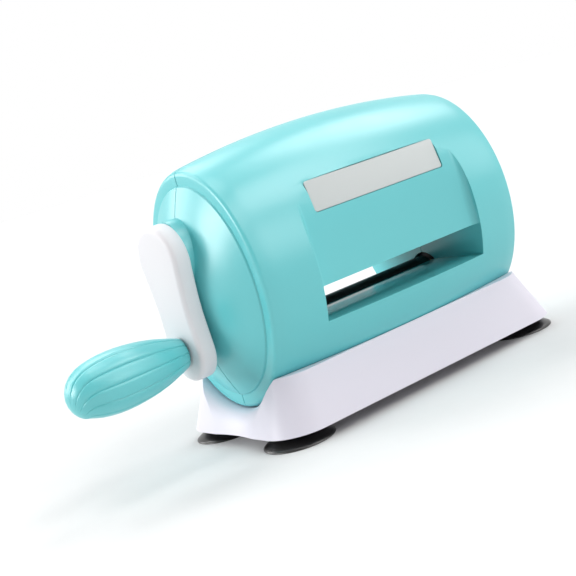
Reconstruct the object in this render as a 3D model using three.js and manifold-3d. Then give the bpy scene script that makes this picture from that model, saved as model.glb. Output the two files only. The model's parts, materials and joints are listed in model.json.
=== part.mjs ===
// Hand-cranked mini die cutting machine: a barrel housing in two halves on a cradle base with four suction
// cups, two geared rollers between steel side plates, and a crank with a grip that turns on its bolt.
// Millimetres. X runs along the barrel with the crank at -X, the feed side faces -Y, the table is z = 0.
import * as THREE from 'three';
import { mergeVertices } from 'three/addons/utils/BufferGeometryUtils.js';
import Module from 'manifold-3d';

const wasm = await Module();
wasm.setup();

// ---- clearances
const gap = 0.3;             // between pieces that touch
const runningGap = 0.1;      // radial, between a shaft and its bush
const pressGap = 0.15;       // radial, between pieces that are pressed together
const chamfer = 0.6;
const beyond = 200;          // further out than any piece reaches, for cutting tools

// ---- barrel housing
const wall = 2.6;
const rimX = 75;             // the rim at each end is this far from the middle
const middleHalfHeight = 61.4;
const bulge = 6.4;           // the middle is this much taller than each rim, above and below
const rimHalfHeight = middleHalfHeight - bulge;
const depthRatio = 0.8;      // the barrel is this much slimmer front to back than it is tall
const baseBottomZ = 5.7;     // the base stands this high on its suction cups
const baseWall = 2.5;
const axisZ = baseBottomZ + baseWall + gap + 0.1 + middleHalfHeight;
const rimRound = 1.6;
const domeRadius = 48;       // half-height of the dome on each end, inside a flat band
const domeRise = 11.6;
const seamGap = gap / 2;     // each half stops this far from the seam

// ---- feed tunnel
const gearBay = 27;          // room between the tunnel and each rim for a side plate and gears
const tunnelHalfWidth = rimX - gearBay;
const cheek = 2.4;           // thickness of the tunnel's walls
const deckZ = axisZ - 24;    // the deck that the cutting plates slide in on
const ceilingZ = deckZ + 15;
const rearLipZ = deckZ - 7.5; // the deck slopes down to this at the back
const panelY = middleHalfHeight * depthRatio - 5.7; // distance of the recessed panel from the middle
const panelBendZ = axisZ + 10; // the panel is upright below this and leans back above it
const panelLean = 180;       // larger leans less
const panelTopZ = axisZ + 42;
const tunnelReach = panelY + 6; // the deck and cheeks are drawn this far out, through the barrel's skin
const deckEdge = 0.8;        // the deck stops beside the lower roller's hole, in hole radii

// ---- label plate
const labelHalfWidth = tunnelHalfWidth - 10;
const labelZ = [axisZ + 21.5, axisZ + 35.6];
const labelThickness = 0.7;
const labelTilt = 0.2;       // radians that the plate leans back
const labelY = panelY - 2.8;    // middle of its thickness, so that its face is just below the panel's

// ---- rollers
const rollerRadius = 9;
const rollerGap = 8;         // room for the stack of cutting plates
const rollerStandProud = 2.3; // the lower roller stands this far above the deck
const lowerZ = deckZ + rollerStandProud - rollerRadius;
const upperZ = lowerZ + 2 * rollerRadius + rollerGap;
const rollerHalfLength = tunnelHalfWidth - 0.8;
const rollerHoleRadius = rollerRadius + 1.5;
const shaftRadius = 4;

// ---- gears
const pressureAngle = 20 * Math.PI / 180;
const addendum = 0.78;       // in modules
const dedendum = 1;          // in modules
const backlash = 0.14;       // taken off each tooth's thickness, in modules
const pinionTeeth = 12;
const pinionWall = 0.85;     // metal between the crank shaft and the bottom of the pinion's teeth
const driveModule = (shaftRadius + pressGap + pinionWall) / (pinionTeeth / 2 - dedendum);
const driveTeeth = 37;
const syncTeeth = 26;
const syncModule = (upperZ - lowerZ) / syncTeeth;
const crankZ = upperZ + driveModule * (pinionTeeth + driveTeeth) / 2;

// ---- side plates, bushes and rods
const plateX = [tunnelHalfWidth + cheek + 0.6, tunnelHalfWidth + cheek + 3.1];
const footX = tunnelHalfWidth - 6;
const footZ = [axisZ - middleHalfHeight + 10.4, axisZ - middleHalfHeight + 12.9];
const footHalfWidth = 14;
const plateHalfWidth = 29;
const bushRadius = shaftRadius + 2;
const bushFlangeRadius = bushRadius + 1.5;
const bushFlange = 1.2;
const bushStandProud = 0.2;  // beyond the plate on its plain side
const rodRadius = 3;
const rodNeckRadius = 2;
const rodHead = 1.3;         // thickness of the rivet head outside each plate
const rodSpots = [[-18, lowerZ - 9.3], [18, lowerZ - 9.3], [-22, crankZ + 10.2], [22, crankZ + 10.2]];
const plateCorners = [lowerZ - 3.3, crankZ + 10.2, crankZ + 22.2];
const gearSpacer = 2.3;      // room between a bush and the gear beside it
const gearWidth = 7;
const gearX = [plateX[1] + bushFlange + gearSpacer, plateX[1] + bushFlange + gearSpacer + gearWidth];

// ---- clips on the shafts
const clipThickness = 0.9;
const clipRadius = shaftRadius + 2.2;
const grooveDepth = 0.8;
const shaftEnd = 0.8;        // shaft left beyond a clip

// ---- crank
const bossRadius = 17;
const bossX = rimX + rimRound / 2 + domeRise + 0.2;
const crankBushRadius = shaftRadius + 2.5;
const armX = [bossX + gap + 0.1, bossX + gap + 8.6];
const crankRadius = 40.4;
const armHeadRadius = 16;
const armEndRadius = 13.8;
const armWaist = 13.4;
const armRound = 2;
const armShoulder = 0.25;    // radians that the head's arc carries on below level
const armLean = 0.12;        // radians above level where the end's arc starts
const armWaistAt = 0.52;     // height of the waist, in crank lengths above the grip
const armEase = [6, 8];      // reach of the side curves' handles at the shoulder and at the waist
const socketDepth = 6.6;
const handleZ = crankZ - crankRadius;
const crankClipX = -plateX[0] + 1;
const outerBushX = rimX + 2; // inner end of the bush in the boss

// ---- grip and its bolt
const gripRoot = armX[1] + 0.7;
const gripProfile = [[0, 7], [4, 8.3], [10, 10.2], [21, 12.4], [33, 13.3], [41, 12.7], [47.5, 11.2],
  [52.5, 8.6], [55.4, 5.2], [56.8, 0]];
const gripGrooves = 12;
const gripGrooveDepth = 0.5;
const boltRadius = 3;
const boltHead = [5, 2];     // radius and thickness
const snapRadius = 4.1;
const snapPocketRadius = 5;
const snapAt = 42;           // distance from the grip's root to the snap head
const snapLength = 3;

// ---- base
const baseTopZ = axisZ - 40.6;
const topEdge = 0.75;        // width of the base's top edge beside the barrel's middle
const baseTopDepth = topEdge + middleHalfHeight * depthRatio
  * Math.sqrt(1 - ((axisZ - baseTopZ) / middleHalfHeight) ** 2);
const baseTop = [rimX + 2.6, baseTopDepth];          // half-length and half-depth
const baseBottom = [rimX + 10.8, baseTopDepth + 9.2];
const baseCorner = 19;
const scoop = [[-1, 0], [3, 0.8], [8, 4.5], [14, 7.5]]; // trough beyond each rim: [reach, growth]

// ---- suction cups
const cupSpot = [rimX - 4.5, baseBottom[1] - 17.8];
const cupRadius = 16.3;
const cupRim = 1.3;
const cupHollow = [[0, 2.6], [8, 2.2]];  // [radius, height] of the hollow under a cup
const cupShoulder = [10.5, 3.4];
const cupCollarRadius = 8.6;
const cupNeckRadius = 4;
const cupHeadRadius = 5.6;
const cupHeadHeight = 2.6;
const padThickness = 2.6;
const padRadius = 9;

// ---- screws
const screwHead = [3, 1.8];  // radius and height
const screwRadius = 1.5;
const frameScrewSeat = 0.8;  // height of a frame screw's head above the base's underside
const shellSeat = 6;         // the rear posts are counterbored down to this far from the seam
const shellScrewReach = 12;  // the screws run this far into the front posts
const shellBossRadius = 4.2;
const shellScrewSpots = [1, -1].flatMap((up) => [-1, 1].map((side) => (
  [side * (rimX - 6.5), up > 0 ? axisZ + 34 : axisZ - 48.5])));
const framePadRadius = 4.4;
const frameScrewSpots = [-9, 9].flatMap((y) => [-1, 1].map((side) => [side * (tunnelHalfWidth - 2), y]));

// ---- smoothness of round shapes
const barrelSides = 36;
const gripSides = 4 * gripGrooves;
const cupSides = 20;
const shaftSides = 18;
const screwSides = 10;

// ---------------------------------------------------------------- solids

function solid(geometry) {
  const plain = geometry.clone();
  plain.deleteAttribute('normal');
  plain.deleteAttribute('uv');
  const merged = mergeVertices(plain, 1e-4);
  return new wasm.Manifold(new wasm.Mesh({
    numProp: 3,
    vertProperties: new Float32Array(merged.attributes.position.array),
    triVerts: new Uint32Array(merged.index.array),
  }));
}

function geometryOf(manifold) {
  const mesh = manifold.getMesh();
  const geometry = new THREE.BufferGeometry();
  geometry.setAttribute('position', new THREE.BufferAttribute(new Float32Array(mesh.vertProperties), 3));
  geometry.setIndex(new THREE.BufferAttribute(new Uint32Array(mesh.triVerts), 1));
  const faceted = geometry.toNonIndexed();
  faceted.computeVertexNormals();
  return faceted;
}

const joined = (list) => list.reduce((sum, next) => sum.add(next));
const cutFrom = (body, tools) => tools.reduce((rest, tool) => rest.subtract(tool), body);

function box([x0, x1], [y0, y1], [z0, z1]) {
  const block = new THREE.BoxGeometry(x1 - x0, y1 - y0, z1 - z0);
  block.translate((x0 + x1) / 2, (y0 + y1) / 2, (z0 + z1) / 2);
  return solid(block);
}

// A round bar along X, Y or Z: `span` is its two ends, `at` its place in the other two axes in order.
function bar(axis, span, radius, at, sides = shaftSides) {
  const cylinder = new THREE.CylinderGeometry(radius, radius, span[1] - span[0], sides);
  const middle = (span[0] + span[1]) / 2;
  if (axis === 'x') cylinder.rotateZ(-Math.PI / 2).translate(middle, at[0], at[1]);
  if (axis === 'y') cylinder.translate(at[0], middle, at[1]);
  if (axis === 'z') cylinder.rotateX(Math.PI / 2).translate(at[0], at[1], middle);
  return solid(cylinder);
}

// A turned shape about an axis along X: `profile` holds [x, radius] from the low-X end to the high-X end.
function turned(profile, sides) {
  const points = profile.map(([x, radius]) => new THREE.Vector2(radius, x));
  return new THREE.LatheGeometry(points, sides).rotateZ(-Math.PI / 2);
}

// An outline in Y and Z drawn out along X.
function platedX(outline, [x0, x1]) {
  const shape = new THREE.Shape(outline.map(([y, z]) => new THREE.Vector2(y, z)));
  const plate = new THREE.ExtrudeGeometry(shape, { depth: x1 - x0, bevelEnabled: false });
  plate.applyMatrix4(new THREE.Matrix4().makeBasis(
    new THREE.Vector3(0, 1, 0), new THREE.Vector3(0, 0, 1), new THREE.Vector3(1, 0, 0)));
  return solid(plate.translate(x0, 0, 0));
}

function bothEnds([x0, x1], side) {
  return side < 0 ? [-x1, -x0] : [x0, x1];
}

// ---------------------------------------------------------------- barrel

// Half-height of the barrel at x: an arc that bulges in the middle.
function halfHeightAt(x) {
  const arcRadius = (rimX * rimX + bulge * bulge) / (2 * bulge);
  return middleHalfHeight - arcRadius + Math.sqrt(arcRadius * arcRadius - x * x);
}

// The barrel grown outwards by `grow` (negative for its inside): one end's dome, the bulged side, the other.
function barrel(grow, steps) {
  const dome = [];
  for (let i = 0; i <= steps; i += 1) {
    const along = i / steps;
    dome.push([rimX + rimRound / 2 + grow + domeRise * (1 - along * along), (domeRadius + grow) * along]);
  }
  const rim = [[rimX + grow, rimHalfHeight + grow - rimRound],
    [rimX + grow - rimRound, rimHalfHeight + grow]];
  const side = [];
  for (let i = -steps; i <= steps; i += 1) {
    const x = (rimX - rimRound - 2) * i / steps;
    side.push([x, halfHeightAt(x) + grow]);
  }
  const rightEnd = dome.concat(rim);
  const leftEnd = rightEnd.map(([x, radius]) => [-x, radius]);
  const profile = [...leftEnd, ...side, ...rightEnd.reverse()];
  const slimmer = (rimHalfHeight * depthRatio + grow) / (rimHalfHeight + grow);
  return solid(turned(profile, barrelSides).scale(1, slimmer, 1).translate(0, 0, axisZ));
}

// The recess and what is behind it follow one curve: upright, then leaning back. `out` moves it outwards.
function panelCurve(out) {
  const curve = [];
  for (let z = panelBendZ; z <= panelTopZ; z += 4) {
    curve.push([panelY + out - (z - panelBendZ) ** 2 / panelLean, z]);
  }
  return curve;
}

// Everything on the front side of the panel curve, for cutting the recess (front is side -1).
function recess(side, lipZ) {
  const outline = [[panelY, lipZ], ...panelCurve(0), [beyond, panelTopZ], [beyond, lipZ]];
  return platedX(outline.map(([y, z]) => [side * y, z]), [-tunnelHalfWidth, tunnelHalfWidth]);
}

function panel(side) {
  const inner = panelCurve(-cheek).reverse();
  const outline = [[panelY - cheek, ceilingZ], [panelY, ceilingZ], ...panelCurve(0), ...inner];
  const half = tunnelHalfWidth + cheek;
  return platedX(outline.map(([y, z]) => [side * y, z]), [-half, half]);
}

// The tunnel's floor: level at the front, sloping down to the rear lip at the back.
function deck(side) {
  const lipZ = side < 0 ? deckZ : rearLipZ;
  const edge = rollerHoleRadius * deckEdge;
  const outline = [[edge, deckZ], [edge, deckZ - cheek], [tunnelReach, lipZ - cheek], [tunnelReach, lipZ]];
  const half = tunnelHalfWidth + cheek;
  return platedX(outline.map(([y, z]) => [side * y, z]), [-half, half]);
}

function tunnelWalls(side) {
  const lipZ = side < 0 ? deckZ : rearLipZ;
  const half = tunnelHalfWidth + cheek;
  const ceiling = bothEnds([rollerHoleRadius, panelY], side);
  const walls = [box([-half, half], ceiling, [ceilingZ, ceilingZ + cheek])];
  for (const end of [-1, 1]) {
    const span = bothEnds([tunnelHalfWidth, half], end);
    walls.push(box(span, bothEnds([seamGap, tunnelReach], side), [lipZ - cheek, ceilingZ + cheek]));
    walls.push(box(span, bothEnds([panelY - cheek, tunnelReach], side), [lipZ - cheek, panelTopZ]));
  }
  return joined(walls);
}

function mouth(side) {
  if (side < 0) return box([-tunnelHalfWidth, tunnelHalfWidth], [-beyond, 1], [deckZ, ceilingZ]);
  const edge = rollerHoleRadius * deckEdge;
  const slope = (deckZ - rearLipZ) / (tunnelReach - edge);
  const outline = [[-1, ceilingZ], [-1, deckZ], [edge, deckZ], [beyond, deckZ - slope * (beyond - edge)],
    [beyond, ceilingZ]];
  return platedX(outline, [-tunnelHalfWidth, tunnelHalfWidth]);
}

// A block where the label is, grown by `grow` behind and round its edge, and reaching `out` in front of it.
function labelBlock(grow, out) {
  const height = labelZ[1] - labelZ[0] + 2 * grow;
  const depth = labelThickness + grow + out;
  const block = new THREE.BoxGeometry(2 * (labelHalfWidth + grow), depth, height);
  block.translate(0, (grow - out) / 2, 0);
  block.rotateX(-labelTilt).translate(0, -labelY, (labelZ[0] + labelZ[1]) / 2);
  return solid(block);
}

// Posts that the shell screws run through, from wall to wall across the seam.
function shellPosts(side) {
  const span = bothEnds([seamGap, beyond], side);
  return joined(shellScrewSpots.map((spot) => bar('y', span, shellBossRadius, spot, screwSides)));
}

function shellScrewHoles(side) {
  if (side < 0) {
    const depth = shellScrewReach + 2;
    return shellScrewSpots.map((spot) => bar('y', [-depth, 1], screwRadius + pressGap, spot, screwSides));
  }
  return shellScrewSpots.flatMap((spot) => [
    bar('y', [-1, beyond], screwRadius + gap, spot, screwSides),
    bar('y', [shellSeat, beyond], screwHead[0] + gap, spot, screwSides),
  ]);
}

function framePads(side) {
  return joined(frameScrewSpots.filter(([, y]) => y * side > 0).map((spot) => (
    bar('z', [0, footZ[0] - gap], framePadRadius, spot, screwSides))));
}

function shell(side) {
  const outside = barrel(0, 5);
  const inside = barrel(-wall, 3);
  const half = box([-beyond, beyond], bothEnds([seamGap, beyond], side), [-beyond, beyond]);
  const boss = bar('x', [-bossX, -rimX - 1], bossRadius, [0, crankZ], barrelSides);
  const insideParts = joined([panel(side), deck(side), tunnelWalls(side), shellPosts(side), framePads(side)]);
  const skin = outside.subtract(inside);
  const bossRing = boss.subtract(inside);
  const shape = joined([skin, bossRing, insideParts.intersect(outside)]).intersect(half);
  const crankHole = bar('x', [-beyond, -rimX + wall + 1], crankBushRadius + pressGap, [0, crankZ]);
  const lipZ = side < 0 ? deckZ : rearLipZ;
  const tools = [crankHole, recess(side, lipZ + 1), mouth(side), ...shellScrewHoles(side)];
  for (const z of [lowerZ, upperZ]) {
    tools.push(bar('x', [-plateX[0], plateX[0]], rollerHoleRadius, [0, z], barrelSides));
  }
  for (const spot of frameScrewSpots) {
    tools.push(bar('z', [0, footZ[0] + 1], screwRadius + gap, spot, screwSides));
  }
  if (side < 0) tools.push(labelBlock(gap, panelTopZ - panelBendZ));
  return cutFrom(shape, tools);
}

// ---------------------------------------------------------------- base

function roundedRectangle([halfLength, halfDepth], corner) {
  const shape = new THREE.Shape();
  const [x, y] = [halfLength - corner, halfDepth - corner];
  shape.moveTo(-x, -halfDepth);
  shape.absarc(x, -y, corner, -Math.PI / 2, 0);
  shape.absarc(x, y, corner, 0, Math.PI / 2);
  shape.absarc(-x, y, corner, Math.PI / 2, Math.PI);
  shape.absarc(-x, -y, corner, Math.PI, Math.PI * 1.5);
  return shape;
}

// A rounded rectangle that narrows from bottom to top. `inset` shrinks it all round.
function taperedBlock(inset, [z0, z1]) {
  const size = baseBottom.map((half) => half - inset);
  const top = baseTop.map((half) => half - inset);
  const block = new THREE.ExtrudeGeometry(roundedRectangle(size, baseCorner - inset),
    { depth: 1, bevelEnabled: false, curveSegments: 6 });
  const position = block.attributes.position;
  for (let i = 0; i < position.count; i += 1) {
    const z = z0 + (z1 - z0) * position.getZ(i);
    const along = (z - baseBottomZ) / (baseTopZ - baseBottomZ);
    position.setXYZ(i, position.getX(i) * (1 + (top[0] / size[0] - 1) * along),
      position.getY(i) * (1 + (top[1] / size[1] - 1) * along), z);
  }
  return solid(block);
}

// The room for the barrel: its own shape under it, and a flared scoop beyond each rim.
function trough(grow) {
  const room = barrel(grow, 4);
  const slimmer = (rimHalfHeight * depthRatio + grow) / (rimHalfHeight + grow);
  const start = rimHalfHeight + grow;
  const end = rimX + scoop[scoop.length - 1][0];
  const flare = [[0, 0], [0, start - 2], ...scoop.map(([reach, growth]) => [rimX + reach, start + growth]),
    [end, 0]];
  const scoops = [1, -1].map((side) => {
    const geometry = turned(flare, barrelSides).scale(1, slimmer, 1);
    if (side < 0) geometry.rotateZ(Math.PI);
    return solid(geometry.translate(0, 0, axisZ));
  });
  return joined([room, ...scoops]);
}

function cupSpots() {
  return [['front_left', -1, -1], ['front_right', 1, -1], ['rear_left', -1, 1], ['rear_right', 1, 1]]
    .map(([name, x, y]) => [name, x * cupSpot[0], y * cupSpot[1]]);
}

function baseCradle() {
  const outside = taperedBlock(0, [baseBottomZ, baseTopZ]);
  const hollow = taperedBlock(baseWall, [baseBottomZ - 1, baseTopZ - baseWall])
    .subtract(trough(gap + baseWall));
  const skin = outside.subtract(hollow).subtract(trough(gap));
  const padTop = baseBottomZ + padThickness;
  const outwards = (at) => bothEnds([Math.abs(at) - padRadius, beyond], Math.sign(at));
  const pads = cupSpots().map(([, x, y]) => box(outwards(x), outwards(y), [baseBottomZ, padTop]));
  const body = skin.add(joined(pads).intersect(outside));
  const holes = cupSpots().map(([, x, y]) => bar('z', [0, padTop + 1], cupNeckRadius + gap, [x, y]));
  for (const spot of frameScrewSpots) {
    holes.push(bar('z', [0, footZ[0]], screwRadius + gap, spot, screwSides));
  }
  return cutFrom(body, holes);
}

function suctionCup(x, y) {
  const padTop = baseBottomZ + padThickness;
  const under = baseBottomZ - gap;
  const outline = [...cupHollow, [cupRadius - cupRim, 0], [cupRadius, 0],
    [cupRadius - chamfer, 1.5 * chamfer], cupShoulder, [cupCollarRadius, under], [cupNeckRadius, under], [cupNeckRadius, padTop + gap],
    [cupHeadRadius, padTop + gap], [cupNeckRadius, padTop + cupHeadHeight - chamfer],
    [0, padTop + cupHeadHeight]];
  const points = outline.map(([radius, z]) => new THREE.Vector2(radius, z));
  return solid(new THREE.LatheGeometry(points, cupSides).rotateX(Math.PI / 2).translate(x, y, 0));
}

// ---------------------------------------------------------------- steel frame

function sidePlate(side) {
  const [low, high, top] = plateCorners;
  const right = [[footHalfWidth, footZ[0]], [plateHalfWidth, low], [plateHalfWidth, high],
    [footHalfWidth, top]];
  const outline = [...right, ...right.map(([y, z]) => [-y, z]).reverse()];
  const plate = platedX(outline, bothEnds(plateX, side));
  const foot = box(bothEnds([footX, plateX[1]], side), [-footHalfWidth, footHalfWidth], footZ);
  const span = [-rimX, rimX];
  const holes = [lowerZ, upperZ].map((z) => bar('x', span, bushRadius + pressGap, [0, z]));
  if (side < 0) holes.push(bar('x', span, bushRadius + pressGap, [0, crankZ]));
  for (const spot of rodSpots) holes.push(bar('x', span, rodNeckRadius + pressGap, spot, screwSides));
  for (const spot of frameScrewSpots) {
    holes.push(bar('z', [0, footZ[1] + 1], screwRadius + pressGap, spot, screwSides));
  }
  return cutFrom(plate.add(foot), holes);
}

function tieRod([y, z]) {
  const neckEnd = plateX[1] + gap;
  const head = neckEnd + rodHead;
  const half = [[0, rodRadius], [plateX[0] - gap, rodRadius], [plateX[0] - gap, rodNeckRadius],
    [neckEnd, rodNeckRadius], [neckEnd, rodRadius], [head, rodRadius - chamfer], [head, 0]];
  const mirrored = half.slice(1).reverse().map(([x, radius]) => [-x, radius]);
  return solid(turned([...mirrored, ...half.slice(1)], screwSides).translate(0, y, z));
}

// A flanged bush for a shaft at height z, in the side plate on one side.
function bush(side, z) {
  const shoulder = plateX[1] + gap / 2;
  const body = bar('x', bothEnds([plateX[0] - bushStandProud, shoulder], side), bushRadius, [0, z]);
  const flange = bar('x', bothEnds([shoulder, plateX[1] + bushFlange], side), bushFlangeRadius, [0, z]);
  return body.add(flange).subtract(bar('x', [-rimX, rimX], shaftRadius + runningGap, [0, z]));
}

function crankOuterBush() {
  return bar('x', [-bossX + gap, -outerBushX], crankBushRadius, [0, crankZ])
    .subtract(bar('x', [-bossX, -outerBushX + 1], shaftRadius + runningGap, [0, crankZ]));
}

// ---------------------------------------------------------------- shafts, rollers, gears

// A plain shaft between two ends with a groove for each clip. Ends and grooves are in X.
function groovedShaft([x0, x1], grooves, z) {
  const profile = [[x0, 0], [x0, shaftRadius]];
  for (const groove of grooves) {
    const [low, high] = [groove - clipThickness / 2 - pressGap, groove + clipThickness / 2 + pressGap];
    profile.push([low, shaftRadius], [low, shaftRadius - grooveDepth], [high, shaftRadius - grooveDepth],
      [high, shaftRadius]);
  }
  profile.push([x1, shaftRadius], [x1, 0]);
  return solid(turned(profile, shaftSides).translate(0, 0, z));
}

function sleeve(z) {
  return bar('x', [-rollerHalfLength, rollerHalfLength], rollerRadius, [0, z], barrelSides)
    .subtract(bar('x', [-rimX, rimX], shaftRadius + pressGap, [0, z]));
}

// A C-shaped clip that snaps into a groove, open downwards.
function clip(x, z) {
  const span = [x - clipThickness / 2, x + clipThickness / 2];
  return bar('x', span, clipRadius, [0, z], screwSides)
    .subtract(bar('x', [span[0] - 1, span[1] + 1], shaftRadius - grooveDepth + gap, [0, z], screwSides))
    .subtract(box([span[0] - 1, span[1] + 1], [-2, 2], [z - clipRadius - 1, z]));
}

// Outline of an involute gear in its own plane. `tooth` turns it: 0 puts a tooth on +Z, 0.5 a space.
function gearOutline(teeth, gearModule, tooth) {
  const pitch = gearModule * teeth / 2;
  const base = pitch * Math.cos(pressureAngle);
  const tip = pitch + addendum * gearModule;
  const root = pitch - dedendum * gearModule;
  const involute = (angle) => Math.tan(angle) - angle;
  const halfTooth = (Math.PI / 2 - backlash / 2) / teeth + involute(pressureAngle);
  const flankSteps = 2;
  const points = [];
  for (let i = 0; i < teeth; i += 1) {
    const middle = 2 * Math.PI * (i + tooth) / teeth;
    const flank = root < base ? [[root, halfTooth]] : [];
    const start = Math.max(base, root);
    for (let k = 0; k <= flankSteps; k += 1) {
      const radius = start + (tip - start) * k / flankSteps;
      flank.push([radius, halfTooth - involute(Math.acos(base / radius))]);
    }
    for (const [radius, angle] of flank) points.push([radius, middle - angle]);
    for (const [radius, angle] of flank.reverse()) points.push([radius, middle + angle]);
  }
  return points.map(([radius, angle]) => [radius * Math.sin(angle), radius * Math.cos(angle)]);
}

function gear(teeth, gearModule, tooth, side, z) {
  const outline = gearOutline(teeth, gearModule, tooth).map(([y, up]) => [y, z + up]);
  const span = [gearX[0] - 1, gearX[1] + 1];
  return platedX(outline, bothEnds(gearX, side))
    .subtract(bar('x', bothEnds(span, side), shaftRadius + pressGap, [0, z]));
}

// ---------------------------------------------------------------- crank

function armOutline() {
  const shape = new THREE.Shape();
  const [shoulderEase, waistEase] = armEase;
  const waistZ = handleZ + crankRadius * armWaistAt;
  const head = (angle) => [armHeadRadius * Math.cos(angle), crankZ + armHeadRadius * Math.sin(angle)];
  const end = (angle) => [armEndRadius * Math.cos(angle), handleZ + armEndRadius * Math.sin(angle)];
  const [headY, headZ] = head(-armShoulder);
  const [endY, endZ] = end(armLean);
  shape.moveTo(headY, headZ);
  shape.absarc(0, crankZ, armHeadRadius, -armShoulder, Math.PI + armShoulder);
  shape.bezierCurveTo(-headY + 1, headZ - shoulderEase, -armWaist, waistZ + waistEase, -armWaist, waistZ);
  shape.quadraticCurveTo(-armWaist, endZ + waistEase, -endY, endZ);
  shape.absarc(0, handleZ, armEndRadius, Math.PI - armLean, 2 * Math.PI + armLean);
  shape.quadraticCurveTo(armWaist, endZ + waistEase, armWaist, waistZ);
  shape.bezierCurveTo(armWaist, waistZ + waistEase, headY - 1, headZ - shoulderEase, headY, headZ);
  return shape;
}

function crankArm() {
  const depth = armX[1] - armX[0] - 2 * armRound;
  const bevel = { bevelEnabled: true, bevelThickness: armRound, bevelSize: armRound, bevelOffset: -armRound };
  const arm = new THREE.ExtrudeGeometry(armOutline(),
    { depth, ...bevel, bevelSegments: 2, curveSegments: 7 });
  arm.applyMatrix4(new THREE.Matrix4().makeBasis(
    new THREE.Vector3(0, 1, 0), new THREE.Vector3(0, 0, 1), new THREE.Vector3(1, 0, 0)));
  arm.translate(armRound - armX[1], 0, 0);
  const inner = -armX[0];
  return cutFrom(solid(arm), [
    bar('x', [inner - socketDepth, inner + 1], shaftRadius + pressGap, [0, crankZ]),
    bar('x', [inner - boltHead[1] - gap, inner + 1], boltHead[0] + gap, [0, handleZ]),
    bar('x', [-armX[1] - 1, inner + 1], boltRadius + pressGap, [0, handleZ]),
  ]);
}

function crankShaft() {
  const inner = crankClipX + clipThickness / 2 + shaftEnd;
  return groovedShaft([-armX[0] - socketDepth + gap, inner], [crankClipX], crankZ);
}

function handleGrip() {
  const outline = [[gripRoot, 0], ...gripProfile.map(([along, radius]) => [gripRoot + along, radius])];
  const grip = turned(outline.map(([x, radius]) => [-x, radius]).reverse(), gripSides);
  const position = grip.attributes.position;
  const length = gripProfile[gripProfile.length - 1][0];
  for (let i = 0; i < position.count; i += 1) {
    const along = (-position.getX(i) - gripRoot) / length;
    const angle = Math.atan2(position.getZ(i), position.getY(i));
    const valley = Math.max(0, Math.cos(angle * gripGrooves)) ** 6;
    const fade = Math.sin(Math.PI * Math.min(1, Math.max(0, along)));
    const radius = Math.hypot(position.getY(i), position.getZ(i));
    const scale = radius > 0 ? 1 - gripGrooveDepth * valley * fade / radius : 1;
    position.setXYZ(i, position.getX(i), position.getY(i) * scale, position.getZ(i) * scale);
  }
  return cutFrom(solid(grip.translate(0, 0, handleZ)), [
    bar('x', [-gripRoot - snapAt, -gripRoot + 1], boltRadius + runningGap, [0, handleZ]),
    bar('x', [-gripRoot - snapAt - snapLength - 1, -gripRoot - snapAt + gap], snapPocketRadius, [0, handleZ]),
  ]);
}

function handleBolt() {
  const tip = -gripRoot - snapAt - snapLength;
  const headX = -armX[0] - gap / 2;
  const profile = [[tip, 0], [tip, boltRadius - chamfer], [tip + snapLength - chamfer, snapRadius],
    [tip + snapLength, snapRadius], [tip + snapLength, boltRadius], [headX - boltHead[1], boltRadius],
    [headX - boltHead[1], boltHead[0]], [headX, boltHead[0]], [headX, 0]];
  return solid(turned(profile, shaftSides).translate(0, 0, handleZ));
}

// ---------------------------------------------------------------- screws

function shellScrew([x, z]) {
  const seat = shellSeat + gap;
  return bar('y', [-shellScrewReach, seat + screwHead[1] / 2], screwRadius, [x, z], screwSides)
    .add(bar('y', [seat, seat + screwHead[1]], screwHead[0], [x, z], screwSides));
}

function frameScrew([x, y]) {
  const top = baseBottomZ + frameScrewSeat + screwHead[1];
  return bar('z', [top - screwHead[1] / 2, footZ[1] + 1], screwRadius, [x, y], screwSides)
    .add(bar('z', [top - screwHead[1], top], screwHead[0], [x, y], screwSides));
}

// ---------------------------------------------------------------- assembly

const finishes = {
  tealPlastic: { color: 0x76c9cd, roughness: 0.35, metalness: 0 },
  whitePlastic: { color: 0xe6e3ef, roughness: 0.4, metalness: 0 },
  greyPlate: { color: 0xced4d4, roughness: 0.5, metalness: 0 },
  blackRubber: { color: 0x18181a, roughness: 0.45, metalness: 0 },
  blackSleeve: { color: 0x0c0d0e, roughness: 0.5, metalness: 0 },
  steel: { color: 0xa9adb2, roughness: 0.3, metalness: 1 },
  gearSteel: { color: 0x8d9094, roughness: 0.4, metalness: 1 },
  bronze: { color: 0xb08a4e, roughness: 0.45, metalness: 1 },
};

const machine = new THREE.Group();
const leftmost = -gripRoot - gripProfile[gripProfile.length - 1][0];
const rightmost = rimX + rimRound / 2 + domeRise;
const middleShift = -(leftmost + rightmost) / 2;   // puts the middle of the whole object on the origin

function place(name, manifold, finish) {
  const mesh = new THREE.Mesh(geometryOf(manifold).translate(middleShift, 0, 0),
    new THREE.MeshStandardMaterial(finishes[finish]));
  mesh.name = name;
  machine.add(mesh);
}

place('front_shell', shell(-1), 'tealPlastic');
place('rear_shell', shell(1), 'tealPlastic');
place('label_plate', labelBlock(0, 0), 'greyPlate');
place('base_cradle', baseCradle(), 'whitePlastic');
for (const [name, x, y] of cupSpots()) place(`suction_cup_${name}`, suctionCup(x, y), 'blackRubber');

for (const [name, side] of [['left', -1], ['right', 1]]) {
  place(`side_plate_${name}`, sidePlate(side), 'steel');
  place(`lower_bush_${name}`, bush(side, lowerZ), 'bronze');
  place(`upper_bush_${name}`, bush(side, upperZ), 'bronze');
}
place('crank_bush_inner', bush(-1, crankZ), 'bronze');
place('crank_bush_outer', crankOuterBush(), 'bronze');
rodSpots.forEach((spot, i) => place(`tie_rod_${i + 1}`, tieRod(spot), 'steel'));

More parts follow.
